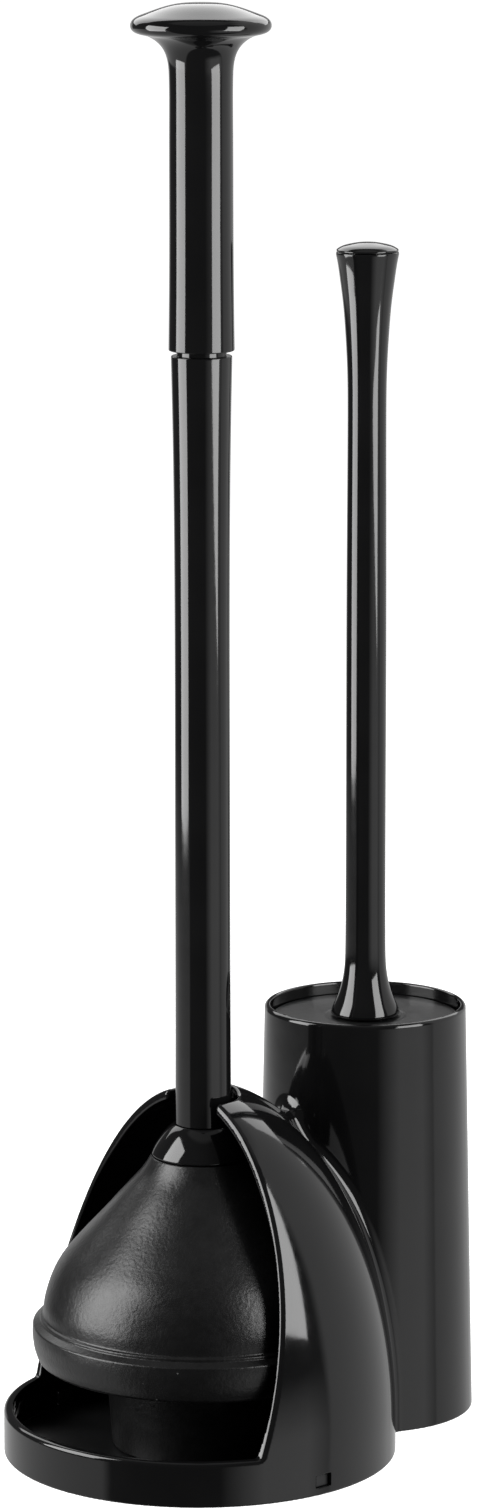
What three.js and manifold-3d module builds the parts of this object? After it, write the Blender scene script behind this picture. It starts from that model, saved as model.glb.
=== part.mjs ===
// Toilet plunger and bowl brush on one moulded holder.
// Millimetres, +Z up. The origin is on the ground under the middle of the holder; +X runs from the
// plunger to the brush, and the holder is the same on both sides of the XZ plane.
import * as THREE from "three";
import { mergeVertices } from "three/addons/utils/BufferGeometryUtils.js";
import Module from "manifold-3d";

const wasm = await Module();
wasm.setup();

// ---------------------------------------------------------------- driving dimensions
const GAP = 0.3; // between pieces that touch
const DOME_R = 77.8; // outside radius of the plunger cover at the ground
const DOME_TOP = 147; // outside height of the plunger cover
const DOME_SKIRT = 12; // straight part below the dome
const DOME_WALL = 2.6;
const CAN_BASE_R = 44; // brush canister, outside radius at the ground
const CAN_RIM_R = 40.5; // and at the rim
const CAN_TOP = 167;
const CAN_WALL = 2.4;
const AXIS_DISTANCE = 91; // from the middle of the cover to the brush's axis
const OPENING_TURN = -4; // degrees that the cover's opening is turned about the upright
const SET_BACK = 2.2; // the plunger stands this far behind the middle of its bay
const PLUNGER_TOP = 571.6;
const HANDLE_TOP = 473.9; // brush handle, with its cap
const FLOOR = 2.5; // thickness of the base plate

// ---------------------------------------------------------------- places worked out from them
const BAY_X = (DOME_R - AXIS_DISTANCE - CAN_BASE_R) / 2; // centres the holder on the origin
const PLUNGER_X = BAY_X + SET_BACK;
const BRUSH_X = BAY_X + AXIS_DISTANCE;
const RIM_Z = 18; // top of the low rim round the front of the tray
const SLOT_R = 15; // U-shaped slot in the top of the cover, for the shaft
const RIB_WIDTH = 9.5;
const LID_TOP = CAN_TOP - 5;
const LID_THICK = 2.2;
const LEDGE_TOP = LID_TOP - LID_THICK - GAP;
const LEDGE_R = 36.1;
const WINDOW = { width: 7, low: 3.1, high: 8, forward: 6 }; // snap windows in the skirt
const SHAFT_R = 10.7;
const SHAFT_LOW = 133;
const SHAFT_HIGH = 436.6;
const GROOVE = 2; // visible neck between shaft and grip
const GRIP_LOW = SHAFT_HIGH + GROOVE;
const GRIP_R = 12.3;
const KNOB_R = 27;
const KNOB_Z = 562.9; // widest level of the knob
const NECK_R = 9.7;
const NECK_LONG = 36; // how far the neck goes up the grip
const BORE_R = 8.3; // inside of the hollow shaft
const CUP_TOP = 120;
const COLLAR_R = 20.5;
const SLEEVE_R = 39; // fold-in sleeve under the cup, outside radius where it leaves the cup
const SLEEVE_LOW = FLOOR + 0.5;
const BRUSH_SEAT = LID_TOP + GAP; // underside of the brush handle
const SPIGOT_R = 6; // end of the handle that goes through the lid
const STUD_R = 4.2; // top of the brush core, inside the handle
const CAP_SEAT = HANDLE_TOP - 3.8;
const CAP_PLUG_R = 9.9;
const CORE_R = 7.5;
const BRISTLE_ROWS = 8;
const BRISTLE_LOW = 50;
const BRISTLE_PITCH = 11;

// ---------------------------------------------------------------- materials
const plastic = new THREE.MeshStandardMaterial({ color: 0x0c0c0d, roughness: 0.14, metalness: 0 });
const rubber = new THREE.MeshStandardMaterial({ color: 0x1b1b1b, roughness: 0.55, metalness: 0 });
const nylon = new THREE.MeshStandardMaterial({ color: 0xd9d9d6, roughness: 0.5, metalness: 0 });
const steel = new THREE.MeshStandardMaterial({ color: 0x9a9c9e, roughness: 0.35, metalness: 1 });

// ---------------------------------------------------------------- geometry helpers
const point = (r, z) => new THREE.Vector2(r, z);

// A smooth run of points through a few that shape it.
const smooth = (points, steps) =>
  new THREE.SplineCurve(points.map(([r, z]) => point(r, z))).getPoints(steps);

// A solid of revolution about Z from its outline, listed anticlockwise in (radius, height).
function lathe(outline, segments, x = 0) {
  const points = outline.map((p) => (Array.isArray(p) ? point(...p) : p));
  return new THREE.LatheGeometry(points, segments).rotateX(Math.PI / 2).translate(x, 0, 0);
}

// A closed ring outline: the last point repeats the first.
const ring = (outline) => [...outline, outline[0]];

const cylinder = (r, low, high, x, segments = 48) =>
  lathe([[0, low], [r, low], [r, high], [0, high]], segments, x);

const box = (x0, x1, y0, y1, z0, z1) =>
  new THREE.BoxGeometry(x1 - x0, y1 - y0, z1 - z0)
    .translate((x0 + x1) / 2, (y0 + y1) / 2, (z0 + z1) / 2);

// A plate whose outline lies in the XZ plane, with its thickness centred on Y = 0.
function sidePlate(outline, thickness) {
  const shape = new THREE.Shape(outline.map(([x, z]) => point(x, z)));
  return new THREE.ExtrudeGeometry(shape, { depth: thickness, bevelEnabled: false })
    .rotateX(Math.PI / 2)
    .translate(0, thickness / 2, 0);
}

function solid(geometry) {
  const bare = geometry.clone();
  bare.deleteAttribute("normal");
  bare.deleteAttribute("uv");
  const merged = mergeVertices(bare, 1e-4);
  return new wasm.Manifold(new wasm.Mesh({
    numProp: 3,
    vertProperties: new Float32Array(merged.attributes.position.array),
    triVerts: new Uint32Array(merged.index.array),
  }));
}

function geometryOf(made) {
  const mesh = made.getMesh();
  const geometry = new THREE.BufferGeometry();
  geometry.setAttribute("position", new THREE.BufferAttribute(mesh.vertProperties, 3));
  geometry.setIndex(new THREE.BufferAttribute(mesh.triVerts, 1));
  return geometry;
}

const joined = (...geometries) => geometries.map(solid).reduce((a, b) => a.add(b));

// ---------------------------------------------------------------- holder
// Upper half of an ellipsoid on a straight skirt, inset from the cover's outside.
function domeSolid(inset, low) {
  const rows = 11;
  const radius = DOME_R - inset;
  const height = DOME_TOP - inset - DOME_SKIRT;
  const outline = [[0, low], [radius, low]];
  for (let i = 0; i < rows; i++) {
    const turn = (Math.PI / 2) * (i / rows);
    outline.push([radius * Math.cos(turn), DOME_SKIRT + height * Math.sin(turn)]);
  }
  outline.push([0, DOME_SKIRT + height]);
  return solid(lathe(outline, 48, BAY_X));
}

// How far in front of the bay's axis the cover is cut away at a height.
function cutAt(z) {
  const down = DOME_TOP - 2 - z;
  return 3.8 + 0.07 * down + 0.0009 * down ** 2;
}

// Turns a piece made round the upright axis into the opening's direction, over the bay.
const facingOut = (geometry) =>
  geometry.rotateZ(THREE.MathUtils.degToRad(OPENING_TURN)).translate(BAY_X, 0, 0);

function frontOpening() {
  const far = -DOME_R - 10;
  const top = DOME_TOP + 20;
  const steps = 10;
  const outline = [];
  for (let i = 0; i <= steps; i++) {
    const z = RIM_Z + (DOME_TOP - 2 - RIM_Z) * (i / steps);
    outline.push([-cutAt(z), z]);
  }
  outline.push([-cutAt(DOME_TOP - 2), top], [far, top], [far, RIM_Z]);
  return solid(facingOut(sidePlate(outline, 3 * DOME_R)));
}

// U-shaped slot that the shaft stands in, open to the front.
function shaftSlot() {
  const low = DOME_TOP - 40;
  const high = DOME_TOP + 20;
  return joined(
    cylinder(SLOT_R, low, high, BAY_X, 36),
    facingOut(box(-DOME_R, 0, -SLOT_R, SLOT_R, low, high)),
  );
}

// The rib that runs from the back of the cover's top down to the canister.
function rib() {
  const far = AXIS_DISTANCE - CAN_RIM_R + 1;
  const ridge = smooth(
    [[far - 1, 133], [far - 4, 127.4], [far - 8, 128.4], [39, 132], [30, 136.8], [18, 142.4]], 10);
  const outline = [[18, 120], [far, 90], [far, 133], ...ridge.map((p) => [p.x, p.y])];
  return solid(sidePlate(outline, RIB_WIDTH).translate(BAY_X, 0, 0));
}

function canisterCavity() {
  const wallAt = (z) => CAN_BASE_R + (CAN_RIM_R - CAN_BASE_R) * (z / CAN_TOP) - CAN_WALL;
  const outline = [
    [0, -1], [wallAt(0), -1], [wallAt(LEDGE_TOP - 4), LEDGE_TOP - 4], [LEDGE_R, LEDGE_TOP - 1.6],
    [LEDGE_R, LEDGE_TOP], [wallAt(LEDGE_TOP), LEDGE_TOP], [wallAt(CAN_TOP), CAN_TOP + 5], [0, CAN_TOP + 5],
  ];
  return solid(lathe(outline, 44, BRUSH_X));
}

// The two joined circles that fill the holder's foot, inset from its outside.
const footprint = (inset, low, high) =>
  joined(
    cylinder(DOME_R - DOME_WALL - inset, low, high, BAY_X),
    cylinder(CAN_BASE_R - CAN_WALL - inset, low, high, BRUSH_X),
  );

// Snap windows: one each side of the cover's skirt, and one at the far end of the canister.
function snapWindows() {
  const half = WINDOW.width / 2;
  const middle = BAY_X - WINDOW.forward;
  const sides = [-1, 1].map((side) => {
    const y = side * DOME_R;
    return box(middle - half, middle + half, y - 6, y + 6, WINDOW.low, WINDOW.high);
  });
  const end = BRUSH_X + CAN_BASE_R;
  return joined(...sides, box(end - 6, end + 2, -half, half, WINDOW.low, WINDOW.high));
}

function holderShell() {
  const canister = lathe([[0, 0], [CAN_BASE_R, 0], [CAN_RIM_R, CAN_TOP], [0, CAN_TOP]], 44, BRUSH_X);
  return domeSolid(0, 0)
    .add(solid(canister))
    .add(rib())
    .subtract(domeSolid(DOME_WALL, -1))
    .subtract(canisterCavity().subtract(domeSolid(0, -2)))
    .subtract(frontOpening())
    .subtract(shaftSlot())
    .subtract(footprint(0, -1, FLOOR + GAP))
    .subtract(snapWindows());
}

// A springy tongue on the base plate's edge, with a nub that snaps into a window. It points along +X.
function snapCatch() {
  const half = WINDOW.width / 2 - GAP;
  const tongue = box(-1.7, 0, -half, half, 1, WINDOW.high + 1);
  const nub = box(-1, 1.9, -half, half, WINDOW.low + GAP, WINDOW.high - GAP);
  return geometryOf(joined(tongue, nub));
}

// Flat floor for both bays, with three catches that snap into the skirt's windows.
function basePlate() {
  const clear = GAP + 0.6;
  const side = DOME_R - DOME_WALL - clear;
  const end = CAN_BASE_R - CAN_WALL - clear;
  const left = snapCatch().rotateZ(Math.PI / 2).translate(BAY_X - WINDOW.forward, side, 0);
  const right = snapCatch().rotateZ(-Math.PI / 2).translate(BAY_X - WINDOW.forward, -side, 0);
  const far = snapCatch().translate(BRUSH_X + end, 0, 0);
  return footprint(GAP, 0, FLOOR).add(joined(left, right, far));
}

// ---------------------------------------------------------------- plunger
// Hollow grip and mushroom knob in one moulding.
function plungerGrip() {
  const grip = smooth([[12.7, GRIP_LOW], [12.35, GRIP_LOW + 45], [GRIP_R, 500], [12.25, 545]], 5);
  const flare = smooth([[13, 550.6], [14.8, 554.5], [17.6, 557.2], [21.7, 559.4]], 4);
  const brim = smooth([[24.8, 560], [26.5, 561.2], [KNOB_R, KNOB_Z], [26.4, 564.6], [24.6, 566.2]], 7);
  const crown = smooth([[22, 567.2], [16.5, 569.2], [9, 571.0], [0, PLUNGER_TOP]], 6);
  const bore = NECK_R + GAP;
  const outline = [
    [bore, GRIP_LOW], ...grip, ...flare, ...brim, ...crown, [0, PLUNGER_TOP - 5], [bore, PLUNGER_TOP - 11],
  ];
  return lathe(ring(outline), 32, PLUNGER_X);
}

// Hollow tube, closed at the top by the neck that the grip is pushed onto.
function plungerShaft() {
  const outside = smooth(
    [[11.05, SHAFT_LOW], [10.85, 200], [SHAFT_R, 330], [10.95, 381], [11.55, 420], [11.85, SHAFT_HIGH]], 8);
  const outline = [
    [BORE_R, SHAFT_LOW], ...outside,
    [NECK_R, SHAFT_HIGH], [NECK_R, GRIP_LOW + NECK_LONG - 2], [NECK_R - 1.5, GRIP_LOW + NECK_LONG],
    [0, GRIP_LOW + NECK_LONG], [0, SHAFT_HIGH - 4], [BORE_R, SHAFT_HIGH - 4],
  ];
  return lathe(ring(outline), 28, PLUNGER_X);
}

// Domed collar between shaft and cup: a spigot goes up the shaft, a stud goes down through the rubber.
function cupCollar() {
  const top = SHAFT_LOW - GAP;
  const spigot = SHAFT_LOW + 16;
  const crown = smooth([[COLLAR_R, CUP_TOP + GAP + 0.6], [18.6, 124.4], [15.2, 129.2], [11.2, top]], 5);
  const outline = [
    [2.7, 109.4], [8, 109.4], [8, CUP_TOP + GAP], [COLLAR_R - 0.4, CUP_TOP + GAP], ...crown,
    [BORE_R - GAP, top], [BORE_R - GAP, spigot], [0, spigot], [0, 130], [2.7, 130],
  ];
  return lathe(ring(outline), 32, PLUNGER_X);
}

// Rubber bell with a heavy flange. The fold-in sleeve hangs from a web inside the flange.
function plungerCup() {
  const bell = [
    [63.5, 56], [62.9, 62], [60.7, 69.8], [56, 78.2],
    [46.4, 89.5], [34.6, 102.6], [24.2, 114.4], [20.9, 119.2],
  ];
  const wall = 3.4;
  const inside = bell.slice(0, 6).map(([r, z]) => [r - wall, z - 1.4]);
  const low = SLEEVE_R - 2.6;
  const sleeveWall = 2.4;
  const outline = [
    [low - sleeveWall / 2, SLEEVE_LOW], [low, SLEEVE_LOW + 0.8], [SLEEVE_R - 1, 24], [SLEEVE_R, 41.5],
    [60, 41.5], [62.6, 37.6], [65.4, 37.8], [67.2, 42], [68, 48.5], [67.6, 52], [64.4, 54.4],
    ...smooth(bell, 9),
    [20.4, CUP_TOP], [8 + GAP, CUP_TOP], [8 + GAP, 109.4], [19, 109.4],
    ...smooth(inside, 6).reverse(),
    [59, 46], [56, 44.5], [SLEEVE_R - sleeveWall, 44.5], [SLEEVE_R - 1 - sleeveWall, 24],
    [low - sleeveWall, SLEEVE_LOW + 0.8],
  ];
  return lathe(ring(outline), 40, PLUNGER_X);
}

const cupWasher = () => lathe(ring([[2.8, 107], [14, 107], [14, 109.1], [2.8, 109.1]]), 24, PLUNGER_X);

function cupScrew() {
  const head = [[0, 103.4], [3.6, 103.6], [5.4, 104.8], [5.4, 106.7]];
  return lathe([...head, [2.3, 106.7], [2.3, 126], [0, 128.5]], 24, PLUNGER_X);
}

// ---------------------------------------------------------------- brush

function brushHandle() {
  const foot = smooth(
    [[13.9, BRUSH_SEAT + 1.2], [11.7, 168.5], [9.3, 176.5], [8.2, 186.5], [8, 209]], 6);
  const grip = smooth(
    [[7.95, 300], [7.65, 405], [7.95, 426], [9.6, 451], [11.6, 465], [12.5, HANDLE_TOP - 4.4]], 9);
  const outline = [
    [STUD_R + GAP, LID_TOP - LID_THICK], [SPIGOT_R, LID_TOP - LID_THICK], [SPIGOT_R, BRUSH_SEAT],
    [13.2, BRUSH_SEAT], ...foot, ...grip,
    [12.3, CAP_SEAT], [CAP_PLUG_R + GAP, CAP_SEAT],
    [CAP_PLUG_R + GAP, HANDLE_TOP - 12], [0, HANDLE_TOP - 12], [0, 190], [STUD_R + GAP, 190],
  ];
  return lathe(ring(outline), 28, BRUSH_X);
}

function handleCap() {
  const dome = smooth([[12.2, HANDLE_TOP - 3], [7, HANDLE_TOP - 0.9], [0, HANDLE_TOP]], 5);
  const low = HANDLE_TOP - 10;
  const seat = CAP_SEAT + GAP;
  const outline = [[0, low], [CAP_PLUG_R, low], [CAP_PLUG_R, seat], [12.2, seat], ...dome];
  return lathe(outline, 28, BRUSH_X);
}

function canisterLid() {
  const edge = CAN_RIM_R - CAN_WALL - 0.5;
  const low = LID_TOP - LID_THICK;
  const hole = SPIGOT_R + GAP;
  const outline = [[hole, low], [edge, low], [edge, LID_TOP - 0.5], [edge - 0.5, LID_TOP], [hole, LID_TOP]];
  return lathe(ring(outline), 40, BRUSH_X);
}

// Stud into the handle, shoulder under the lid, and the core that holds the bristles.
function brushCore() {
  const shoulder = LID_TOP - LID_THICK - GAP;
  const outline = [
    [0, BRISTLE_LOW - 5], [4.5, BRISTLE_LOW - 3.5], [CORE_R, BRISTLE_LOW], [CORE_R, 142], [5.6, 146],
    [5.6, shoulder - 3], [12, shoulder - 2.2], [12, shoulder], [STUD_R, shoulder], [STUD_R, 187], [0, 188.5],
  ];
  return lathe(outline, 24, BRUSH_X);
}

// One ring of tufts, as the space it fills. The head is egg-shaped, smaller towards the tip.
function bristleRow(row) {
  const low = BRISTLE_LOW + row * BRISTLE_PITCH + 1;
  const high = low + BRISTLE_PITCH - 2;
  const share = (row + 0.5) / BRISTLE_ROWS;
  const reach = 10.8 + 19 * Math.sin(Math.min(1, share * 1.18) * Math.PI / 2) ** 0.9;
  const root = CORE_R + GAP;
  return lathe(ring([[root, low + 3], [reach, low], [reach, high], [root, high - 3]]), 28, BRUSH_X);
}

// ---------------------------------------------------------------- the assembly
const assembly = new THREE.Group();
function add(name, geometry, material) {
  const mesh = new THREE.Mesh(geometry, material);
  mesh.name = name;
  assembly.add(mesh);
}

add("holder_shell", geometryOf(holderShell()), plastic);
add("base_plate", geometryOf(basePlate()), plastic);
add("plunger_grip", plungerGrip(), plastic);
add("plunger_shaft", plungerShaft(), plastic);
add("cup_collar", cupCollar(), plastic);
add("plunger_cup", plungerCup(), rubber);
add("cup_washer", cupWasher(), steel);
add("cup_screw", cupScrew(), steel);
add("brush_handle", brushHandle(), plastic);
add("brush_handle_cap", handleCap(), plastic);
add("canister_lid", canisterLid(), plastic);
add("brush_core", brushCore(), plastic);
for (let row = 0; row < BRISTLE_ROWS; row++) add(`bristle_row_${row + 1}`, bristleRow(row), nylon);

export default assembly;
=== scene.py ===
"""The looks of the plunger and brush set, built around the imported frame.

Metres, +Z up. Each shape is drawn in millimetres about its own upright axis. The axes' places and
the set's main heights and radii come from the frame.
"""
import math
import random

import bpy
import numpy as np
from mathutils import Matrix, Vector


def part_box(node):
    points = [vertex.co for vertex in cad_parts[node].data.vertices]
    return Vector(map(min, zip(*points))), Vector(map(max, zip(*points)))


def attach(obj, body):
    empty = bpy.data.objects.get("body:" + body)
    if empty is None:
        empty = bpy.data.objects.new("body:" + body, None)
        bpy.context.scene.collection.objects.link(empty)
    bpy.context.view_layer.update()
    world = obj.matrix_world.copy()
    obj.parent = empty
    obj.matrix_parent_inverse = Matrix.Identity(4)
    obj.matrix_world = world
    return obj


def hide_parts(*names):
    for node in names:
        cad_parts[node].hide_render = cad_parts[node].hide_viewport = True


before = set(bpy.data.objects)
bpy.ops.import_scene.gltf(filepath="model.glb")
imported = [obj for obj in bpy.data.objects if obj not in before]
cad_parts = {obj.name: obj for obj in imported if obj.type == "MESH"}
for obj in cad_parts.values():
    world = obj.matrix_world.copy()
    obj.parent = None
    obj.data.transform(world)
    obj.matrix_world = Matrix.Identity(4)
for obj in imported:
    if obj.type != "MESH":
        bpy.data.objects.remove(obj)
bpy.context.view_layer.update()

MM = 0.001


def middle(node):
    """The x of a CAD node's upright axis, in mm."""
    low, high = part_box(node)
    return (low.x + high.x) / 2 / MM


# ---------------------------------------------------------------- sizes, in mm
HOLDER_LOW, HOLDER_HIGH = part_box("holder_shell")
DOME_R = HOLDER_HIGH.y / MM  # the plunger cover's outside
BAY_X = HOLDER_LOW.x / MM + DOME_R  # the plunger cover's axis
PLUNGER_X = middle("plunger_grip")
BRUSH_X = middle("brush_handle")
AXIS_DISTANCE = BRUSH_X - BAY_X
DOME_TOP = 147.0
DOME_SKIRT = 12.0  # the straight part below the dome
DOME_WALL = 2.6
LIP_BEAD = 1.2  # the cover's extra wall round the tray's rim and near its top
BEAD_HEIGHTS, BEAD_SHARES = [8, 14, 20, 34, 98, 116], [0, 1, 1, 0, 0, 1]
CAN_BASE_R = HOLDER_HIGH.x / MM - BRUSH_X
CAN_RIM_R = 40.5
CAN_TOP = HOLDER_HIGH.z / MM
CAN_WALL = 2.4
RIM_Z = 18.0  # the tray's rim, below the cover's opening
OPENING_TURN = math.radians(4)
OPENING = {"start": 3.8, "slope": 0.07, "bow": 0.0009, "below_top": 2.0, "corner": 1.2}
SLOT = {"half": 15.0, "low": 107.0, "corner": 1.5}  # for the shaft, up through the cover's top
RIB = {"width": 9.5, "low": 105.0, "start": 15.0, "end": AXIS_DISTANCE - CAN_RIM_R + 1}
LID_LOW, LID_TOP = (c.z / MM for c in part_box("canister_lid"))
LID_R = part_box("canister_lid")[1].x / MM - BRUSH_X
GAP = 0.3  # between pieces that seat on each other
LEDGE_TOP = LID_LOW - GAP
LEDGE = {"radius": 36.1, "deep": 1.6, "slope": 0.93}  # what the lid rests on, chamfered below
FLOOR = 2.5  # the base plate's thickness
SNAP_WINDOW = {"half": 3.5, "low": 3.1, "high": 8.0, "forward": 6.0}
GRIP_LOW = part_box("plunger_grip")[0].z / MM
PLUNGER_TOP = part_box("plunger_grip")[1].z / MM
SHAFT_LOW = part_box("plunger_shaft")[0].z / MM
HANDLE_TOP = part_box("brush_handle_cap")[1].z / MM
# Roundings of the holder's edges, and of the corners where its parts meet.
EDGE = {"lip": 1.7, "inside": 0.95, "can_rim": 1.6, "can_mouth": 0.3, "rib": 3.0, "foot": 0.7}
FILLET = {"canister": 6.6, "rib": 8.0, "inside": 2.0}


# ---------------------------------------------------------------- mesh helpers
def mesh_object(name, vertices, faces, normals=None):
    """A smooth-shaded object from points in mm."""
    mesh = bpy.data.meshes.new(name)
    mesh.from_pydata((np.asarray(vertices) * MM).tolist(), [], [tuple(f) for f in faces])
    mesh.validate()
    mesh.shade_smooth()
    if normals is not None:
        mesh.normals_split_custom_set_from_vertices(np.asarray(normals).tolist())
    obj = bpy.data.objects.new(name, mesh)
    bpy.context.scene.collection.objects.link(obj)
    return obj


def spline(points, steps):
    """A natural cubic spline through a few points that shape it."""
    p = np.array(points, float)
    t = np.concatenate([[0], np.cumsum(np.linalg.norm(np.diff(p, axis=0), axis=1))])
    h = np.diff(t)
    n = len(p)
    a = np.eye(n)
    b = np.zeros((n, 2))
    for i in range(1, n - 1):
        a[i, i - 1 : i + 2] = h[i - 1], 2 * (h[i - 1] + h[i]), h[i]
        b[i] = 6 * ((p[i + 1] - p[i]) / h[i] - (p[i] - p[i - 1]) / h[i - 1])
    m = np.linalg.solve(a, b)
    out = []
    for s in np.linspace(0, t[-1], steps + 1):
        i = min(n - 2, int(np.searchsorted(t, s, side="right")) - 1)
        u, v = t[i + 1] - s, s - t[i]
        out.append(
            (m[i] * u**3 + m[i + 1] * v**3) / (6 * h[i])
            + (p[i] / h[i] - m[i] * h[i] / 6) * u
            + (p[i + 1] / h[i] - m[i + 1] * h[i] / 6) * v
        )
    return [tuple(q) for q in out]


def walk(points, start, way, distance):
    """The point a distance along a closed run of points, and how many points that passes."""
    n = len(points)
    i, passed = start, 0
    left = distance
    while True:
        j = (i + way) % n
        step = np.linalg.norm(points[j] - points[i])
        if step >= left or passed > n:
            return points[i] + (points[j] - points[i]) * (left / max(step, 1e-9)), passed
        left -= step
        i, passed = j, passed + 1


def rounded(outline, closed=True, steps=5):
    """An outline in (radius, height). Its corners (radius, height, rounding) are drawn curved."""
    points = [np.array(p[:2], float) for p in outline]
    made = []
    drop = set()
    curves = {}
    n = len(points)
    for i, p in enumerate(outline):
        if len(p) < 3:
            continue
        before, back = walk(points, i, -1, p[2])
        after, on = walk(points, i, 1, p[2])
        drop |= {(i - k) % n for k in range(1, back + 1)}
        drop |= {(i + k) % n for k in range(1, on + 1)}
        t = np.linspace(0, 1, steps + 1)[:, None]
        curves[i] = (1 - t) ** 2 * before + 2 * t * (1 - t) * points[i] + t**2 * after
    for i in range(n):
        if i in curves:
            made += [tuple(q) for q in curves[i]]
        elif i not in drop:
            made.append(tuple(points[i]))
    if closed:
        made.append(made[0])
    return made


def lathe(name, outline, x, segments=144):
    """A solid of revolution from its outline, anticlockwise in (radius, height).

    The outline closes on itself or starts and ends on the axis.
    """
    profile = np.array(outline, float)
    closed = np.allclose(profile[0], profile[-1])
    if closed:
        profile = profile[:-1]
    n = len(profile)
    edges = (np.roll(profile, -1, 0) - profile)[: n if closed else n - 1]
    length = np.linalg.norm(edges, axis=1)
    across = np.stack([edges[:, 1], -edges[:, 0]], 1) * length[:, None]
    slope = np.zeros((n, 2))
    slope[: len(edges)] += across
    slope[(np.arange(len(edges)) + 1) % n] += across
    slope /= np.maximum(np.linalg.norm(slope, axis=1, keepdims=True), 1e-12)
    turn = np.arange(segments) * 2 * math.pi / segments
    ring = np.stack([np.cos(turn), np.sin(turn)], 1)
    vertices, normals, index = [], [], []
    for (r, z), (nr, nz) in zip(profile, slope):
        start = len(vertices)
        if r < 1e-6:
            vertices.append((x, 0, z))
            normals.append((0, 0, 1 if nz >= 0 else -1))
            index.append([start] * segments)
        else:
            vertices += [(x + r * c, r * s, z) for c, s in ring]
            normals += [(nr * c, nr * s, nz) for c, s in ring]
            index.append(list(range(start, start + segments)))
    faces = []
    for i in range(len(edges)):
        a, b = index[i], index[(i + 1) % n]
        if a[0] == a[1] and b[0] == b[1]:
            continue
        for k in range(segments):
            m = (k + 1) % segments
            face = (a[k], a[m], b[m], b[k])
            faces.append(tuple(dict.fromkeys(face)))
    return mesh_object(name, vertices, faces, normals)


# ---------------------------------------------------------------- distance fields, in mm
def union_round(a, b, r):
    """The nearer of two shapes, with a fillet where they meet."""
    corner = np.hypot(np.maximum(r - a, 0), np.maximum(r - b, 0))
    return np.maximum(r, np.minimum(a, b)) - corner


def overlap_round(a, b, r):
    """What two shapes share, with a rounded edge where they meet."""
    corner = np.hypot(np.maximum(r + a, 0), np.maximum(r + b, 0))
    return np.minimum(-r, np.maximum(a, b)) + corner


def near_surface(field, axes, block=8, batches=24, margin=3):
    """A field's values on a regular grid.

    Away from the surface only their sign is right, which saves time.
    """
    shape = [len(a) for a in axes]
    corner = [a[::block] for a in axes]
    span = [a[1] - a[0] for a in axes]
    centre = [c + block * d / 2 for c, d in zip(corner, span)]
    rough = field(*np.meshgrid(*centre, indexing="ij"))
    values = np.empty([len(c) * block for c in corner], np.float32)
    cells = values.reshape(len(corner[0]), block, len(corner[1]), block, len(corner[2]), block)
    cells[:] = rough[:, None, :, None, :, None]
    half_diagonal = block * span[0] * math.sqrt(3) / 2
    near = np.argwhere(np.abs(rough) < 1.5 * half_diagonal + margin)
    within = np.arange(block)
    for part in np.array_split(near, batches):
        xyz = []
        for k in range(3):
            along = corner[k][part[:, k]][:, None] + within * span[k]
            xyz.append(along.reshape([len(part)] + [block if j == k else 1 for j in range(3)]))
        cells[part[:, 0], :, part[:, 1], :, part[:, 2], :] = field(*xyz)
    return values[: shape[0], : shape[1], : shape[2]]


def plain_faces(values, rounds=6, just_inside=-0.01):
    """Fills a corner wherever two inside and two outside corners of a grid face lie crosswise."""
    for _ in range(rounds):
        found = 0
        for u, v in ((0, 1), (1, 2), (0, 2)):
            first = [slice(None)] * 3
            first[u] = first[v] = slice(0, -1)
            corners = []
            for du, dv in ((0, 0), (1, 0), (1, 1), (0, 1)):
                part = list(first)
                part[u] = slice(du, values.shape[u] - 1 + du)
                part[v] = slice(dv, values.shape[v] - 1 + dv)
                corners.append(values[tuple(part)] < 0)
            a, b, c, d = corners
            for place in np.argwhere((a == c) & (b == d) & (a != b)):
                other = place.copy()
                if values[tuple(place)] < 0:
                    other[u] += 1
                values[tuple(other)] = just_inside
                found += 1
        if not found:
            break


def surface_net(field, low, high, cell):
    """Vertices and quads of a field's surface on a regular grid."""
    axes = [np.arange(a, b + cell, cell) for a, b in zip(low, high)]
    values = near_surface(field, axes)
    plain_faces(values)
    inside = values < 0
    shape = np.array(values.shape)
    cells = np.full(shape - 1, -1, np.int64)
    total = np.zeros((*(shape - 1), 3), np.float32)
    count = np.zeros(shape - 1, np.float32)
    crossings = []
    for axis in range(3):
        first = [slice(None)] * 3
        second = [slice(None)] * 3
        first[axis], second[axis] = slice(0, -1), slice(1, None)
        changed = np.argwhere(inside[tuple(first)] != inside[tuple(second)])
        a = values[tuple(changed.T)]
        other = changed.copy()
        other[:, axis] += 1
        b = values[tuple(other.T)]
        place = changed.astype(np.float32)
        place[:, axis] += a / (a - b)
        crossings.append((axis, changed, inside[tuple(changed.T)], place))
    for axis, changed, _, place in crossings:
        u, v = [k for k in range(3) if k != axis]
        for du in (0, 1):
            for dv in (0, 1):
                c = changed.copy()
                c[:, u] -= du
                c[:, v] -= dv
                np.add.at(total, tuple(c.T), place)
                np.add.at(count, tuple(c.T), 1)
    used = np.argwhere(count > 0)
    cells[tuple(used.T)] = np.arange(len(used))
    points = total[tuple(used.T)] / count[tuple(used.T)][:, None]
    vertices = points * cell + np.array(low)
    quads = []
    for axis, changed, began_inside, _ in crossings:
        u, v = (axis + 1) % 3, (axis + 2) % 3
        corner = []
        for du, dv in ((1, 1), (0, 1), (0, 0), (1, 0)):
            c = changed.copy()
            c[:, u] -= du
            c[:, v] -= dv
            corner.append(cells[tuple(c.T)])
        q = np.stack(corner, 1)
        q[~began_inside] = q[~began_inside][:, ::-1]
        quads.append(q)
    return vertices, np.concatenate(quads)


def gradient(field, points, step=0.02):
    """A field's slope at some points."""
    g = np.empty_like(points)
    for k in range(3):
        d = np.zeros(3)
        d[k] = step
        ahead, behind = points + d, points - d
        g[:, k] = (field(*ahead.T) - field(*behind.T)) / (2 * step)
    return g


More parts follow.
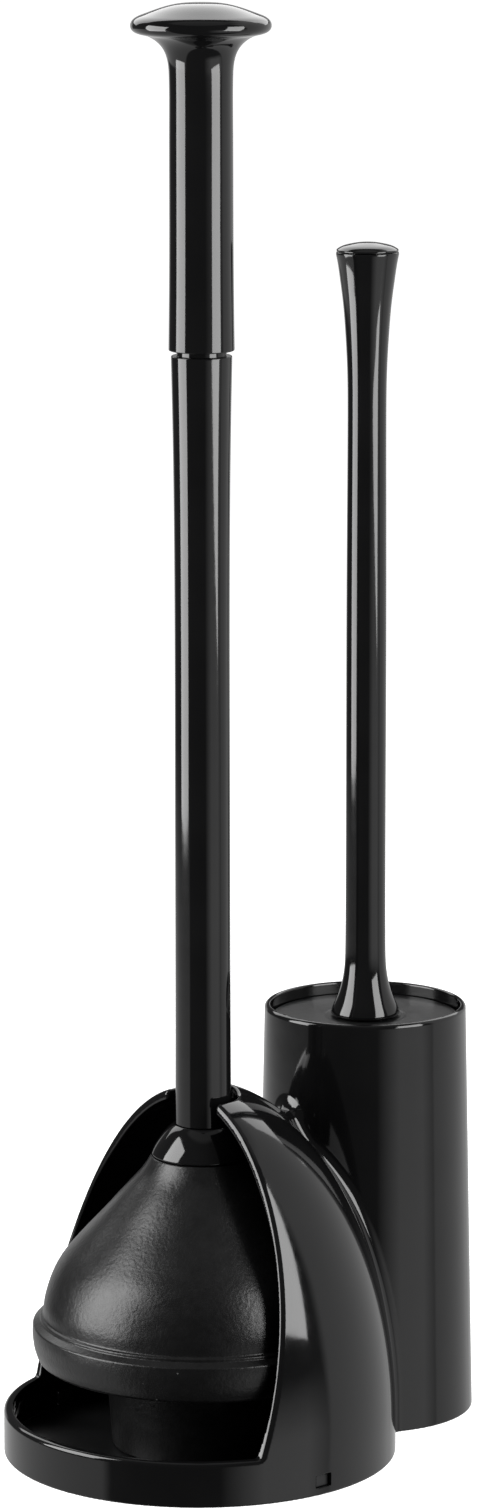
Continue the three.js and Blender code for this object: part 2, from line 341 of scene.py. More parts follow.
def settle(field, points, rounds=3, least=0.2):
    """Moves points onto a field's surface, and gives the surface's normals there."""
    for _ in range(rounds):
        g = gradient(field, points)
        points = points - g * (field(*points.T) / np.maximum((g**2).sum(1), least))[:, None]
    g = gradient(field, points)
    return points, g / np.maximum(np.linalg.norm(g, axis=1, keepdims=True), 1e-9)


def decimated(name, vertices, quads, share):
    """The same surface with fewer faces, as points and triangles."""
    mesh = bpy.data.meshes.new(name)
    mesh.from_pydata(vertices.tolist(), [], quads.tolist())
    obj = bpy.data.objects.new(name, mesh)
    bpy.context.scene.collection.objects.link(obj)
    thin = obj.modifiers.new("thin", "DECIMATE")
    thin.ratio = share
    evaluated = obj.evaluated_get(bpy.context.evaluated_depsgraph_get()).to_mesh()
    points = np.empty(len(evaluated.vertices) * 3)
    evaluated.vertices.foreach_get("co", points)
    evaluated.calc_loop_triangles()
    triangles = np.empty(len(evaluated.loop_triangles) * 3, np.int64)
    evaluated.loop_triangles.foreach_get("vertices", triangles)
    bpy.data.objects.remove(obj)
    bpy.data.meshes.remove(mesh)
    return points.reshape(-1, 3), triangles.reshape(-1, 3)


# ---------------------------------------------------------------- holder
def dome_field(x, y, z, inset=0.0):
    """Half an ellipsoid on a straight skirt, inset from the cover's outside."""
    r = np.hypot(x, y)
    a = DOME_R - inset
    b = DOME_TOP - inset - DOME_SKIRT
    up = np.maximum(z - DOME_SKIRT, 0)
    k0 = np.hypot(r / a, up / b)
    k1 = np.hypot(r / a**2, up / b**2)
    return np.where(up > 0, k0 * (k0 - 1) / np.maximum(k1, 1e-9), r - a)


def can_field(x, y, z, inset=0.0):
    """The canister's tapered side, inset from its outside."""
    r = np.hypot(x - AXIS_DISTANCE, y)
    return r - (CAN_BASE_R + (CAN_RIM_R - CAN_BASE_R) * z / CAN_TOP) + inset


# The top of the rib, (x, height).
RIDGE = spline([(10, 145.6), (18, 142.6), (30, 137), (39, 132.2), (46, 128.6), (54, 126.5)], 40)
RIDGE_COSINE = 0.92  # of its mean slope


def rib_field(x, y, z):
    """The rib from the cover's top down to the canister."""
    top = np.interp(x, [p[0] for p in RIDGE], [p[1] for p in RIDGE])
    ridge = overlap_round((z - top) * RIDGE_COSINE, np.abs(y) - RIB["width"] / 2, EDGE["rib"])
    ends = np.maximum(RIB["start"] - x, np.maximum(x - RIB["end"], RIB["low"] - z))
    return np.maximum(ridge, ends)


def opening_field(x, y, z):
    """What is cut from the cover: the front, and the slot for the shaft."""
    c, s = math.cos(OPENING_TURN), math.sin(OPENING_TURN)
    ahead, side = x * c - y * s, x * s + y * c
    down = np.maximum(DOME_TOP - OPENING["below_top"] - z, 0)
    cut = ahead + OPENING["start"] + OPENING["slope"] * down + OPENING["bow"] * down**2
    cut = cut / np.sqrt(1 + (OPENING["slope"] + 2 * OPENING["bow"] * down) ** 2)
    front = overlap_round(cut, RIM_Z - z, OPENING["corner"])
    slot = np.where(ahead < 0, np.abs(side), np.hypot(x, y)) - SLOT["half"]
    slot = np.maximum(slot, SLOT["low"] - z)
    return union_round(front, slot, SLOT["corner"])


def canister_hollow(x, y, z):
    """The canister's inside: its mouth, the ledge's hole and the room below the ledge."""
    wall = can_field(x, y, z, CAN_WALL)
    out = np.hypot(x - AXIS_DISTANCE, y)
    mouth = overlap_round(wall, LEDGE_TOP - z, EDGE["can_mouth"])
    hole = out - LEDGE["radius"]
    square = 0.73  # brings the chamfer's slope back to distances
    chamfer = ((z - LEDGE_TOP + LEDGE["deep"]) * LEDGE["slope"] + hole) * square
    below = np.maximum(chamfer, np.maximum(wall, z - LEDGE_TOP))
    past_rim = 9  # how far the hole's cut runs on above the canister
    hole = np.maximum(hole, z - CAN_TOP - past_rim)
    return np.minimum(np.minimum(mouth, below), hole)


def box_field(x, y, z, low, high):
    """A box between two corners."""
    parts = [np.abs(v - (a + b) / 2) - (b - a) / 2 for v, a, b in zip((x, y, z), low, high)]
    return np.maximum(np.maximum(parts[0], parts[1]), parts[2])


def holder_field(x, y, z):
    """The moulded holder about the cover's axis: domed cover, canister and the rib between them."""
    dome = dome_field(x, y, z)
    can = overlap_round(can_field(x, y, z), z - CAN_TOP, EDGE["can_rim"])
    body = union_round(dome, can, FILLET["canister"])
    body = union_round(body, rib_field(x, y, z), FILLET["rib"])
    body = overlap_round(body, -z, EDGE["foot"])
    body = overlap_round(body, -opening_field(x, y, z), EDGE["lip"])
    wall = DOME_WALL + LIP_BEAD * np.interp(z, BEAD_HEIGHTS, BEAD_SHARES)
    cavity = overlap_round(canister_hollow(x, y, z), -dome, FILLET["inside"])
    hollow = np.minimum(dome_field(x, y, z, wall), cavity)
    shell = overlap_round(body, -hollow, EDGE["inside"])
    foot = np.minimum(
        np.hypot(x, y) - (DOME_R - DOME_WALL),
        np.hypot(x - AXIS_DISTANCE, y) - (CAN_BASE_R - CAN_WALL),
    )
    shell = np.maximum(shell, -np.maximum(foot, z - FLOOR - GAP))
    half, reach = SNAP_WINDOW["half"], 6  # a cut's half width, and its depth each way
    back, front = -SNAP_WINDOW["forward"] - half, -SNAP_WINDOW["forward"] + half
    far = AXIS_DISTANCE + CAN_BASE_R
    for low, high in (
        ((back, -DOME_R - reach), (front, -DOME_R + reach)),
        ((back, DOME_R - reach), (front, DOME_R + reach)),
        ((far - reach, -half), (far + 2, half)),
    ):
        snap = box_field(x, y, z, (*low, SNAP_WINDOW["low"]), (*high, SNAP_WINDOW["high"]))
        shell = np.maximum(shell, -snap)
    return shell


HOLDER_CELL = {"quick": 1.2, "full": 0.6}
HOLDER_QUADS = 130000  # what the full mesh is thinned to, counted in quads


def make_holder():
    """The holder's mesh: its field's surface, thinned where it is plain."""
    margin = 3.0
    low = (-DOME_R - margin, -DOME_R - margin, -margin)
    high = (AXIS_DISTANCE + CAN_BASE_R + margin, DOME_R + margin, CAN_TOP + margin)
    cell = HOLDER_CELL["full"]
    vertices, quads = surface_net(holder_field, low, high, cell)
    share = HOLDER_QUADS / len(quads)
    vertices, quads = decimated("holder_draft", vertices, quads, share)
    vertices, normals = settle(holder_field, vertices)
    vertices = vertices + np.array([BAY_X, 0, 0])
    return mesh_object("holder_moulding", vertices, quads.tolist(), normals)


holder = make_holder()
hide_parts("holder_shell")
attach(holder, "holder")


# ---------------------------------------------------------------- plunger
def simplified(points, turn=0.35, longest=12.0):
    """Leaves out points of an outline where it is straight."""
    p = np.array(points, float)
    way = np.arctan2(*(np.diff(p, axis=0).T[::-1]))
    kept = [0]
    bent = 0.0
    for i in range(1, len(p) - 1):
        bent += abs((way[i] - way[i - 1] + math.pi) % (2 * math.pi) - math.pi)
        if math.degrees(bent) > turn or np.linalg.norm(p[i + 1] - p[kept[-1]]) > longest:
            kept.append(i)
            bent = 0.0
    return [tuple(q) for q in p[[*kept, len(p) - 1]]]


def curve(points, spacing=0.6):
    """A smooth run of outline through a few points."""
    length = np.linalg.norm(np.diff(np.array(points, float), axis=0), axis=1).sum()
    return simplified(spline(points, max(8, int(length / spacing))))


def make_grip():
    """The hollow grip, slightly waisted, that flares into the knob."""
    outside = curve([
        (12.75, GRIP_LOW), (12.5, GRIP_LOW + 20), (12.32, GRIP_LOW + 50), (12.25, 525),
        (12.3, 543.4), (12.95, 550.0), (14.9, 554.5), (17.9, 557.4), (21.6, 559.2), (24.7, 560.0),
        (26.45, 561.2), (27.0, 562.9), (26.5, 564.5), (24.8, 566.0), (22, 567.2), (16.5, 569.2),
        (9, 571.1), (3, 571.55), (0, PLUNGER_TOP),
    ], 0.5)
    bore = 10.0
    outline = [
        (bore, GRIP_LOW, 0.3), (*outside[0], 0.5), *outside[1:],
        (0, PLUNGER_TOP - 5), (bore, PLUNGER_TOP - 11, 1.0),
    ]
    return lathe("grip_and_knob", rounded(outline), PLUNGER_X, 128)


def make_shaft():
    """The shaft: a tube whose solid neck goes up into the grip."""
    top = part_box("plunger_shaft")[1].z / MM
    shoulder = GRIP_LOW - 2.0
    neck, bore = 9.7, 8.3
    outside = curve([
        (11.05, SHAFT_LOW), (10.9, 170), (10.8, 250), (10.72, 330), (10.95, 381), (11.5, 420),
        (11.85, shoulder),
    ])
    outline = [
        (bore, SHAFT_LOW, 0.3), (*outside[0], 0.25), *outside[1:-1], (*outside[-1], 0.5),
        (neck, shoulder, 0.3), (neck, top - 2, 0.4), (neck - 1.5, top, 0.4),
        (0, top), (0, shoulder - 4), (bore, shoulder - 4, 1.0),
    ]
    return lathe("shaft_tube", rounded(outline), PLUNGER_X, 112)


CUP_TOP = 120.0
CUP_SEAT = 109.4  # the underside of the cup's crown, where the washer bears


def make_collar():
    """The domed collar, with its spigot through the cup and its stud up into the shaft."""
    top, low = SHAFT_LOW - GAP, CUP_TOP + GAP
    spigot, screw_hole, stud_top = 8, 2.7, SHAFT_LOW + 16
    crown = curve([
        (20.5, low + 0.6), (19.8, 122.6), (18.2, 125.4), (15.4, 129.2), (12.9, 131.7), (11.4, top),
    ], 0.4)
    outline = [
        (screw_hole, CUP_SEAT), (spigot, CUP_SEAT, 0.3), (spigot, low, 0.3), (20.1, low, 0.3),
        *crown[:-1], (*crown[-1], 0.3),
        (spigot, top, 0.3), (spigot, stud_top, 0.6), (0, stud_top),
        (0, 130), (screw_hole, 130, 0.4),
    ]
    return lathe("cup_collar_dome", rounded(outline), PLUNGER_X, 112)


def make_cup():
    """The rubber cup: bell, flange with its beads, and the sleeve that folds out below."""
    bell = curve([
        (63.65, 56.2), (63.3, 60), (62.3, 64.5), (60.4, 70.2), (56.3, 77.9), (51, 84.4),
        (46.3, 89.6), (40.2, 96.2), (34.6, 102.6), (28.8, 109.1), (23.7, 115), (21.2, 119.0),
    ], 1.0)
    inside = curve([
        (59.8, 54.6), (59.2, 60.6), (57, 68.4), (52.5, 76.8), (43, 88.1), (31.2, 101.2),
    ], 1.5)
    sleeve_outside = [(35.2, 3.0, 0.5), (36.4, 3.0, 0.7), (38.0, 24.0, 5), (39.0, 41.5, 0.8)]
    flange = [
        (59.6, 41.5, 1.2), (62.2, 37.7, 1.2), (65.6, 37.6, 1.6), (67.3, 42.5, 2), (68.0, 48.4, 2),
        (67.7, 52.2, 0.5), (64.9, 54.0, 0.25), (64.8, 55.1, 0.35), (63.9, 55.7, 0.2),
    ]
    crown = [(20.6, CUP_TOP, 0.5), (8.3, CUP_TOP, 0.3), (8.3, CUP_SEAT, 0.3), (19, CUP_SEAT, 1.2)]
    sleeve_inside = [
        (59, 46, 2), (56, 44.5, 1), (36.6, 44.5, 1.2), (35.6, 24, 5), (34.0, 3.0, 0.5),
    ]
    outline = [*sleeve_outside, *flange, *bell, *crown, *inside[::-1], *sleeve_inside]
    return lathe("rubber_cup", rounded(outline), PLUNGER_X, 160)


def make_washer():
    """The washer inside the cup, under the screw's head."""
    outline = [(2.8, 107, 0.2), (14, 107, 0.4), (14, 109.1, 0.4), (2.8, 109.1, 0.2)]
    return lathe("washer", rounded(outline), PLUNGER_X, 72)


def make_screw():
    """The screw that holds the cup: a domed head with a recess, and a ribbed shank."""
    shank_r, ridge, ridges, per_ridge = 2.3, 0.28, 16, 6
    low, pitch = 108, 1.0
    shank = []
    for k in range(ridges * per_ridge + 1):
        wave = ridge * math.cos(2 * math.pi * k / per_ridge) - ridge
        shank.append((shank_r + wave, low + pitch * k / per_ridge))
    outline = [
        (0, 104.9), (0.9, 104.9), (2.1, 103.9, 0.2), (3.6, 103.6, 0.5), (5.4, 104.9, 0.8),
        (5.4, 106.7, 0.3), (shank_r, 106.7, 0.3), *shank, (0, 128.5),
    ]
    return lathe("cup_screw_body", rounded(outline, closed=False), PLUNGER_X, 64)


# ---------------------------------------------------------------- brush
def make_brush_handle():
    """The brush handle: a spigot through the lid, a flared foot, a slim grip and a flared end."""
    seat, rim = LID_TOP + GAP, HANDLE_TOP - 3.8
    foot_and_grip = curve([
        (13.9, seat + 1.1), (13.2, seat + 3.2), (11.75, 168.7), (10.2, 172.7), (9.2, 176.7),
        (8.45, 182), (8.12, 190.5), (8.0, 210), (7.97, 260), (7.95, 331), (7.78, 375), (7.68, 405),
        (7.92, 424), (8.65, 438), (9.75, 451), (10.8, 459), (11.95, 466.6),
        (12.5, HANDLE_TOP - 4.6),
    ], 0.8)
    spigot, bore, bore_top = 6, 4.5, 190
    plug, plug_low = 10.2, HANDLE_TOP - 12
    outline = [
        (bore, LID_LOW, 0.3), (spigot, LID_LOW, 0.3), (spigot, seat, 0.3), (13.3, seat, 0.7),
        *foot_and_grip,
        (12.3, rim, 0.3), (plug, rim, 0.3), (plug, plug_low, 0.4), (0, plug_low),
        (0, bore_top), (bore, bore_top, 0.4),
    ]
    return lathe("brush_handle_body", rounded(outline), BRUSH_X, 96)


def make_handle_cap():
    """The low domed cap that plugs the end of the brush handle."""
    plug, low, seat = 9.9, HANDLE_TOP - 10, HANDLE_TOP - 3.5
    crown = curve([
        (12.3, HANDLE_TOP - 2.9), (10.7, HANDLE_TOP - 1.9), (7, HANDLE_TOP - 0.75),
        (3.5, HANDLE_TOP - 0.15), (0, HANDLE_TOP),
    ], 0.4)
    outline = [
        (0, low), (plug, low, 0.4), (plug, seat, 0.2), (12.25, seat, 0.25),
        (*crown[0], 0.3), *crown[1:],
    ]
    return lathe("brush_cap", rounded(outline, closed=False), BRUSH_X, 96)


def make_lid():
    """The disc that closes the canister, very slightly sunk round the handle's foot."""
    hole, sunk = 6.3, LID_TOP - 0.25
    outline = [
        (hole, LID_LOW, 0.3), (LID_R, LID_LOW, 0.4), (LID_R, LID_TOP, 0.7), (16.5, LID_TOP, 0.5),
        (15.6, sunk, 0.4), (hole, sunk, 0.2),
    ]
    return lathe("canister_lid_disc", rounded(outline), BRUSH_X, 144)


def make_core():
    """The brush core under the lid, with a spigot up into the handle."""
    shoulder = LID_LOW - GAP
    outline = [
        (0, 45), (4.5, 46.5, 1.2), (7.5, 50, 1.2), (7.5, 142, 1), (5.6, 146, 1),
        (5.6, shoulder - 3, 0.6), (12, shoulder - 2.2, 0.5), (12, shoulder, 0.3),
        (4.2, shoulder, 0.3), (4.2, 187, 0.5), (0, 188.5),
    ]
    return lathe("brush_core_body", rounded(outline, closed=False), BRUSH_X, 64)


BRISTLE_ROWS = 8


def make_bristle_row(row, rng):
    """A ring of nylon tufts.

    Each tuft is a bunch of filaments that fans out from its hole in the core.
    """
    low, high = (c.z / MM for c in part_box(f"bristle_row_{row + 1}"))
    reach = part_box(f"bristle_row_{row + 1}")[1].y / MM
    level = (low + high) / 2
    tufts, filaments, sides, stations = 11, 26, 5, 5
    filament_r, taper = 0.24, 0.25
    golden, root_out, hole_r, fan_wide, fan_tall = 0.618, 7.9, 1.5, 0.30 * reach / 30, 0.46
    vertices, faces = [], []
    for tuft in range(tufts):
        around = 2 * math.pi * (tuft + 0.5 * (row % 2)) / tufts
        for strand in range(filaments):
            spin = 2 * math.pi * strand * golden
            out = math.sqrt((strand + 0.5) / filaments)
            across, along = out * math.cos(spin), out * math.sin(spin)
            root = np.array([root_out, hole_r * across, level + hole_r * along])
            end = np.array([
                reach * rng.uniform(0.93, 0.995),
                reach * fan_wide * across * rng.uniform(0.85, 1.1),
                level + (high - low) * fan_tall * along * rng.uniform(0.85, 1.05),
            ])
            end[:2] *= reach * rng.uniform(0.955, 0.998) / math.hypot(end[0], end[1])
            bow = rng.uniform(-0.5, 0.5)
            start = len(vertices)
            c, s = math.cos(around), math.sin(around)
            for k in range(stations):
                t = k / (stations - 1)
                bent = np.array([0, bow, 0.4 * bow]) * math.sin(math.pi * t)
                p = root + (end - root) * t + bent
                thick = filament_r * (1 - taper * t)
                for side in range(sides):
                    a = 2 * math.pi * side / sides
                    y, z = p[1] + thick * math.cos(a), p[2] + thick * math.sin(a)
                    vertices.append((BRUSH_X + p[0] * c - y * s, p[0] * s + y * c, z))
            for k in range(stations - 1):
                for side in range(sides):
                    a, b = start + k * sides + side, start + k * sides + (side + 1) % sides
                    faces.append((a, b, b + sides, a + sides))
            last = start + (stations - 1) * sides
            faces.append(tuple(start + side for side in range(sides))[::-1])
            faces.append(tuple(last + side for side in range(sides)))
    return mesh_object(f"bristle_tufts_{row + 1}", vertices, faces)


# ---------------------------------------------------------------- materials
def material(name):
    """A new material, its node tree and its shader."""
    made = bpy.data.materials.new(name)
    made.use_nodes = True
    tree = made.node_tree
    shader = tree.nodes["Principled BSDF"]
    return made, tree, shader


def add_node(tree, kind, **values):
    """A shader node with its properties and its inputs set by name."""
    made = tree.nodes.new(kind)
    for key, value in values.items():
        if key in made.inputs.keys():
            made.inputs[key].default_value = value
        else:
            setattr(made, key, value)
    return made


def value_node(tree, operation, a, b=None, c=None):
    """A sum on numbers or other nodes' values."""
    made = add_node(tree, "ShaderNodeMath", operation=operation)
    for socket, item in zip(made.inputs, (a, b, c)):
        if item is None:
            continue
        if isinstance(item, (int, float)):
            socket.default_value = item
        else:
            tree.links.new(item, socket)
    return made.outputs[0]


def noise(tree, place, scale, detail=3.0, roughness=0.5):
    """Noise in the object's own space. Scale counts per metre."""
    made = add_node(tree, "ShaderNodeTexNoise", Scale=scale, Detail=detail, Roughness=roughness)
    tree.links.new(place, made.inputs["Vector"])
    return made.outputs["Fac"]


def spread(tree, value, low, high, start=0.3, end=0.7):
    """Stretches a noise value to run from low to high."""
    made = add_node(tree, "ShaderNodeMapRange")
    for key, number in zip(("From Min", "From Max", "To Min", "To Max"), (start, end, low, high)):
        made.inputs[key].default_value = number
    tree.links.new(value, made.inputs["Value"])
    return made.outputs["Result"]


def blend_colour(tree, factor, dark, light):
    """A colour between a dark and a light one."""
    made = tree.nodes.new("ShaderNodeMix")
    made.data_type = "RGBA"
    made.inputs["A"].default_value = (*dark, 1)
    made.inputs["B"].default_value = (*light, 1)
    tree.links.new(factor, made.inputs["Factor"])
    return made.outputs["Result"]


def bump(tree, shader, heights):
    """Stacks bumps, each a height value with its depth in metres."""
    normal = None
    for height, depth in heights:
        made = add_node(tree, "ShaderNodeBump", Strength=1.0, Distance=depth)
        tree.links.new(height, made.inputs["Height"])
        if normal is not None:
            tree.links.new(normal, made.inputs["Normal"])
        normal = made.outputs["Normal"]
    tree.links.new(normal, shader.inputs["Normal"])


def places(tree):
    """Where a point lies on its object."""
    return tree.nodes.new("ShaderNodeTexCoord").outputs["Object"]


def black_plastic(name, dark, light, roughness, wave):
    """Moulded black plastic: faint flow in its colour, uneven polish and a very slight ripple."""
    made, tree, shader = material(name)
    place = places(tree)
    flow = noise(tree, place, 35, 4)
    polish = noise(tree, place, 160, 5, 0.6)
    colour = blend_colour(tree, spread(tree, flow, 0, 1), dark, light)
    tree.links.new(colour, shader.inputs["Base Color"])
    tree.links.new(spread(tree, polish, *roughness), shader.inputs["Roughness"])
    ripple = noise(tree, place, 60, 2)
    grain = noise(tree, place, 2400, 2)
    bump(tree, shader, [(ripple, wave), (grain, wave * 0.02)])
    shader.inputs["IOR"].default_value = 1.47
    return made


def rubber():
    """Black rubber with a dull shine, faint mottle, a pebbled skin and a few dust specks."""
    made, tree, shader = material("cup_rubber")
    place = places(tree)
    mottle = noise(tree, place, 260, 5, 0.6)
    patches = noise(tree, place, 38, 3)
    mixed = value_node(tree, "ADD", spread(tree, mottle, 0, 0.45), spread(tree, patches, 0, 0.55))
    shade = blend_colour(tree, mixed, (0.0022, 0.0022, 0.0023), (0.0058, 0.0058, 0.006))
    specks = add_node(tree, "ShaderNodeTexVoronoi", Scale=210.0)
    tree.links.new(place, specks.inputs["Vector"])
    dust = spread(tree, specks.outputs["Distance"], 1, 0, 0.05, 0.085)
    sparse = spread(tree, noise(tree, place, 55, 2), 0, 1, 0.62, 0.66)
    dusted = tree.nodes.new("ShaderNodeMix")
    dusted.data_type = "RGBA"
    dusted.inputs["B"].default_value = (0.09, 0.09, 0.09, 1)
    tree.links.new(value_node(tree, "MULTIPLY", dust, sparse), dusted.inputs["Factor"])
    tree.links.new(shade, dusted.inputs["A"])
    tree.links.new(dusted.outputs["Result"], shader.inputs["Base Color"])
    fine, broad = spread(tree, mottle, 0.27, 0.32), spread(tree, patches, 0, 0.06)
    tree.links.new(value_node(tree, "ADD", fine, broad), shader.inputs["Roughness"])
    pebbles = noise(tree, place, 620, 3, 0.55)
    swell = noise(tree, place, 90, 2)
    bump(tree, shader, [(swell, 0.00012), (pebbles, 0.00012)])
    shader.inputs["IOR"].default_value = 1.45
    return made


def nylon():
    """Off-white filament, slightly see-through."""
    made, tree, shader = material("bristle_nylon")
    place = places(tree)
    tone = noise(tree, place, 900, 3)
    colour = blend_colour(tree, spread(tree, tone, 0, 1), (0.62, 0.63, 0.61), (0.82, 0.83, 0.81))
    tree.links.new(colour, shader.inputs["Base Color"])
    tree.links.new(spread(tree, tone, 0.28, 0.42), shader.inputs["Roughness"])
    bump(tree, shader, [(tone, 0.00003)])
    shader.inputs["Subsurface Weight"].default_value = 0.15
    shader.inputs["Subsurface Radius"].default_value = (0.001, 0.001, 0.001)
    return made


def zinc():
    """Zinc-plated steel with turning marks."""
    made, tree, shader = material("zinc_steel")
    place = places(tree)
    centre = add_node(tree, "ShaderNodeVectorMath", operation="SUBTRACT")
    centre.inputs[1].default_value = (PLUNGER_X * MM, 0, 0)
    tree.links.new(place, centre.inputs[0])
    rings = add_node(
        tree, "ShaderNodeTexWave", wave_type="RINGS", rings_direction="Z",
        Scale=900.0, Distortion=1.5,
    )
    tree.links.new(centre.outputs["Vector"], rings.inputs["Vector"])
    spots = noise(tree, place, 500, 4)
    colour = blend_colour(tree, spread(tree, spots, 0, 1), (0.42, 0.43, 0.44), (0.6, 0.61, 0.63))
    tree.links.new(colour, shader.inputs["Base Color"])
    tree.links.new(spread(tree, spots, 0.25, 0.42), shader.inputs["Roughness"])
    shader.inputs["Metallic"].default_value = 1.0
    bump(tree, shader, [(rings.outputs["Fac"], 0.00003)])
    return made


GLOSS = black_plastic(
    "black_gloss_plastic", dark=(0.003, 0.003, 0.0032), light=(0.0046, 0.0046, 0.0048),
    roughness=(0.055, 0.085), wave=0.00003,
)
HOLDER = black_plastic(
    "black_holder_plastic", dark=(0.0034, 0.0034, 0.0036), light=(0.0052, 0.0052, 0.0054),
    roughness=(0.06, 0.1), wave=0.00004,
)
SATIN = black_plastic(
    "black_moulded_plastic", dark=(0.006, 0.006, 0.0063), light=(0.009, 0.009, 0.0094),
    roughness=(0.32, 0.4), wave=0.00005,
)
RUBBER = rubber()
NYLON = nylon()
ZINC = zinc()


def dress(obj, look):
    """Gives a piece its material."""
    obj.data.materials.clear()
    obj.data.materials.append(look)


def place_piece(obj, node, body, look):
    """Puts a detailed piece in a CAD node's place."""
    dress(obj, look)
    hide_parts(node)
    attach(obj, body)


dress(holder, HOLDER)
place_piece(make_grip(), "plunger_grip", "plunger", GLOSS)
place_piece(make_shaft(), "plunger_shaft", "plunger", GLOSS)
place_piece(make_collar(), "cup_collar", "plunger", GLOSS)
place_piece(make_cup(), "plunger_cup", "plunger", RUBBER)
place_piece(make_washer(), "cup_washer", "plunger", ZINC)
place_piece(make_screw(), "cup_screw", "plunger", ZINC)
place_piece(make_brush_handle(), "brush_handle", "brush", GLOSS)
place_piece(make_handle_cap(), "brush_handle_cap", "brush", GLOSS)
place_piece(make_lid(), "canister_lid", "brush", SATIN)
place_piece(make_core(), "brush_core", "brush", SATIN)
draws = random.Random(7)
for row in range(BRISTLE_ROWS):
    tufts = make_bristle_row(row, draws)
    place_piece(tufts, f"bristle_row_{row + 1}", "brush", NYLON)
dress(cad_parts["base_plate"], SATIN)


# ---------------------------------------------------------------- studio
# Degrees and metres. The distance is from the plunger cover's axis.
CAMERA = {
    "azimuth": 42.6, "distance": 2.288, "height": 0.722,
    "pitch": 10.926, "yaw": 0.3914, "roll": -0.0574,
}
FOCAL = 142.72
UP = Vector((0, 0, 1))


def basis(right, up, back):
    """A rotation from an object's own three directions."""
    return Matrix((
        (right.x, up.x, back.x, 0), (right.y, up.y, back.y, 0), (right.z, up.z, back.z, 0),
        (0, 0, 0, 1),
    ))


def make_camera():
    """The camera looks down at the set past its open side."""
    angles = ("azimuth", "pitch", "yaw", "roll")
    azimuth, pitch, yaw, roll = (math.radians(CAMERA[k]) for k in angles)
    ahead = Vector((math.sin(azimuth), math.cos(azimuth), 0))
    side = Vector((math.cos(azimuth), -math.sin(azimuth), 0))
    level = side * math.sin(yaw) + ahead * math.cos(yaw)
    look = level * math.cos(pitch) - UP * math.sin(pitch)
    right = side * math.cos(yaw) - ahead * math.sin(yaw)
    top = right.cross(look)
    c, s = math.cos(roll), math.sin(roll)
    right, top = right * c + top * s, top * c - right * s
    data = bpy.data.cameras.new("camera")
    data.sensor_width = 36
    data.lens = FOCAL
    data.clip_start, data.clip_end = 0.05, 60
    camera = bpy.data.objects.new("camera", data)
    bpy.context.scene.collection.objects.link(camera)
    camera.matrix_world = basis(right, top, -look)
    camera.location = Vector((BAY_X * MM, 0, CAMERA["height"])) - ahead * CAMERA["distance"]
    bpy.context.scene.camera = camera


def between(tree, value, low, high, soft):
    """1 where a value lies between low and high, with soft ends."""
    up = spread(tree, value, 0, 1, low - soft, low + soft)
    down = spread(tree, value, 1, 0, high - soft, high + soft)
    return value_node(tree, "MULTIPLY", up, down)


# The large soft boxes: azimuth from the camera's side, lean and tilt in degrees, the rest in
# metres, and their brightness.
SOFT_BOXES = {
    "left": {
        "azimuth": -79, "distance": 1.0, "low": 0.015, "high": 1.07, "width": 0.73,
        "lean": 0, "tilt": 12, "bright": 6.7,
    },
    "right": {
        "azimuth": 57, "distance": 1.0, "low": 0.19, "high": 1.22, "width": 0.57,
        "lean": 13, "tilt": 0, "bright": 6.5,
    },
    "back": {
        "azimuth": 180, "distance": 1.5, "low": 0.92, "high": 2.4, "width": 3.4,
        "lean": 0, "tilt": 0, "bright": 1.9,
    },
}
# Fainter panels of the room: from and to in azimuth and in elevation, how soft both are, all in
# degrees, and their brightness.
PANELS = [
    {"around": (24, 80), "up": (-40, -6), "soft": (14, 6), "bright": 1.3},
    {"around": (80, 150), "up": (-90, 60), "soft": (3, 10), "bright": 0.95},
    {"around": (145, 190), "up": (-90, 8), "soft": (4, 5), "bright": 0.85},
    {"around": (-190, -56), "up": (-90, -12), "soft": (3, 1.5), "bright": 0.9},
    {"around": (-190, -150), "up": (-90, 8), "soft": (4, 5), "bright": 0.85},
]
OVERHEAD = {"up": 62, "soft": 4, "bright": 0.35}
ROOM = 0.09  # the brightness of everything else


def make_studio():
    """A dark room with faint panels, drawn as the sky. The camera itself sees plain white there."""
    world = bpy.data.worlds.new("studio")
    bpy.context.scene.world = world
    world.use_nodes = True
    tree = world.node_tree
    tree.nodes.clear()
    way = tree.nodes.new("ShaderNodeTexCoord").outputs["Generated"]
    turned = add_node(tree, "ShaderNodeVectorRotate", rotation_type="Z_AXIS")
    turned.inputs["Angle"].default_value = math.radians(CAMERA["azimuth"])
    tree.links.new(way, turned.inputs["Vector"])
    parts = tree.nodes.new("ShaderNodeSeparateXYZ")
    tree.links.new(turned.outputs["Vector"], parts.inputs["Vector"])
    x, y, z = parts.outputs
    in_degrees = 180 / math.pi
    turn = value_node(tree, "ARCTAN2", x, value_node(tree, "MULTIPLY", y, -1.0))
    around = value_node(tree, "MULTIPLY", turn, in_degrees)
    up = value_node(tree, "MULTIPLY", value_node(tree, "ARCSINE", z), in_degrees)
    total = ROOM
    for box in PANELS:
        a = between(tree, around, *box["around"], box["soft"][0])
        b = between(tree, up, *box["up"], box["soft"][1])
        lit = value_node(tree, "MULTIPLY", value_node(tree, "MULTIPLY", a, b), box["bright"])
        total = value_node(tree, "MAXIMUM", lit, total)
    start, end = OVERHEAD["up"] - OVERHEAD["soft"], OVERHEAD["up"] + OVERHEAD["soft"]
    roof = spread(tree, up, 0, OVERHEAD["bright"], start, end)
    total = value_node(tree, "MAXIMUM", roof, total)
    seen = tree.nodes.new("ShaderNodeLightPath").outputs["Is Camera Ray"]
    missing = value_node(tree, "SUBTRACT", 1.0, total)
    strength = value_node(tree, "MULTIPLY_ADD", seen, missing, total)
    back = tree.nodes.new("ShaderNodeBackground")
    tree.links.new(strength, back.inputs["Strength"])
    out = tree.nodes.new("ShaderNodeOutputWorld")
    tree.links.new(back.outputs["Background"], out.inputs["Surface"])


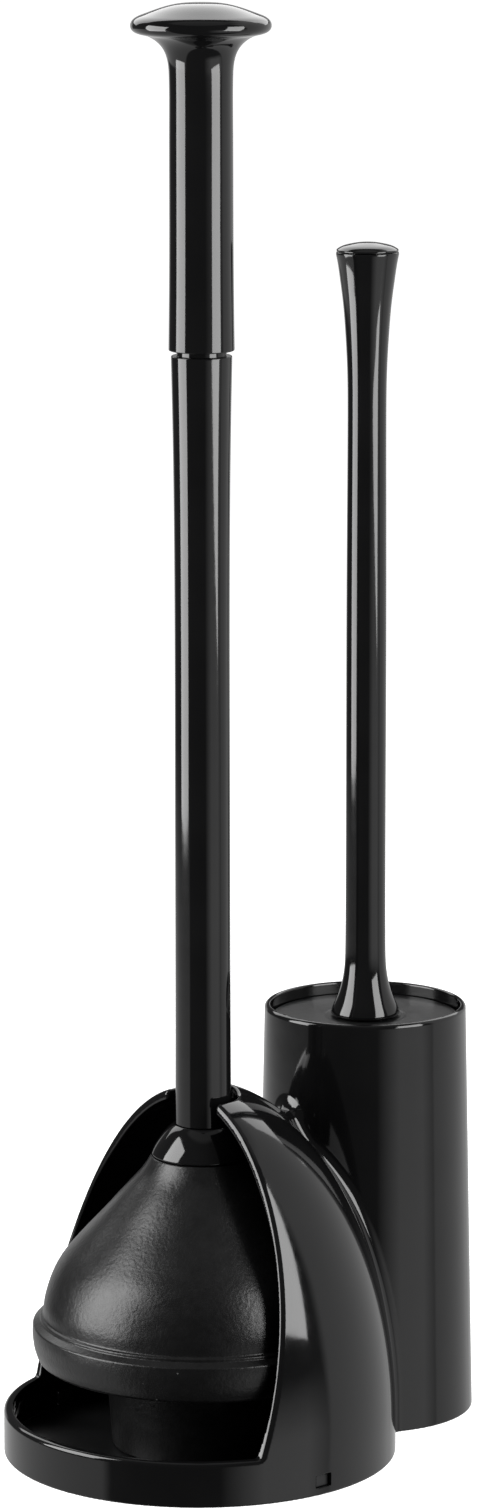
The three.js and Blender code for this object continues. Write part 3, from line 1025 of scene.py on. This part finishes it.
def make_soft_box(name, azimuth, distance, low, high, width, lean, tilt, bright):
    """A soft box that faces the set. It shines with the same brightness all over, on one side."""
    around = math.radians(CAMERA["azimuth"])
    turn = math.radians(azimuth)
    toward = Vector((-math.sin(around), -math.cos(around), 0))
    side = Vector((math.cos(around), -math.sin(around), 0))
    out = toward * math.cos(turn) + side * math.sin(turn)
    light = bpy.data.lights.new(f"soft_box_{name}", "AREA")
    light.shape = "RECTANGLE"
    light.size, light.size_y = width, high - low
    light.energy = 4 * width * (high - low) * bright
    lamp = bpy.data.objects.new(light.name, light)
    bpy.context.scene.collection.objects.link(lamp)
    rise = math.radians(tilt)
    back = (out * math.cos(rise) + UP * math.sin(rise)).normalized()
    right = UP.cross(back).normalized()
    top = back.cross(right)
    c, s = math.cos(math.radians(lean)), math.sin(math.radians(lean))
    right, top = right * c - top * s, top * c + right * s
    lamp.matrix_world = basis(right, top, back)
    lamp.location = out * distance + UP * (low + high) / 2
    lamp.visible_camera = False


def make_floor():
    """A plain pale floor. Glossy plastic mirrors the room past it, as on a glass table."""
    size = 14.0
    corners = [(-size, -size, 0), (size, -size, 0), (size, size, 0), (-size, size, 0)]
    mesh = bpy.data.meshes.new("floor")
    mesh.from_pydata(corners, [], [(0, 1, 2, 3)])
    floor = bpy.data.objects.new("floor", mesh)
    bpy.context.scene.collection.objects.link(floor)
    made, tree, shader = material("pale_floor")
    tone = noise(tree, places(tree), 3, 2)
    colour = blend_colour(tree, tone, (0.79, 0.79, 0.79), (0.81, 0.81, 0.81))
    tree.links.new(colour, shader.inputs["Base Color"])
    shader.inputs["Roughness"].default_value = 0.9
    shader.inputs["Specular IOR Level"].default_value = 0.1
    shader.inputs["Emission Color"].default_value = (1, 1, 1, 1)
    shader.inputs["Emission Strength"].default_value = 0.92
    mesh.materials.append(made)
    # Only the camera sees the floor: it lights nothing and shades nothing.
    floor.visible_glossy = False
    floor.visible_diffuse = False
    floor.visible_shadow = False


make_camera()
make_studio()
for name, box in SOFT_BOXES.items():
    make_soft_box(name, **box)
make_floor()
bpy.context.scene.view_settings.view_transform = "Standard"
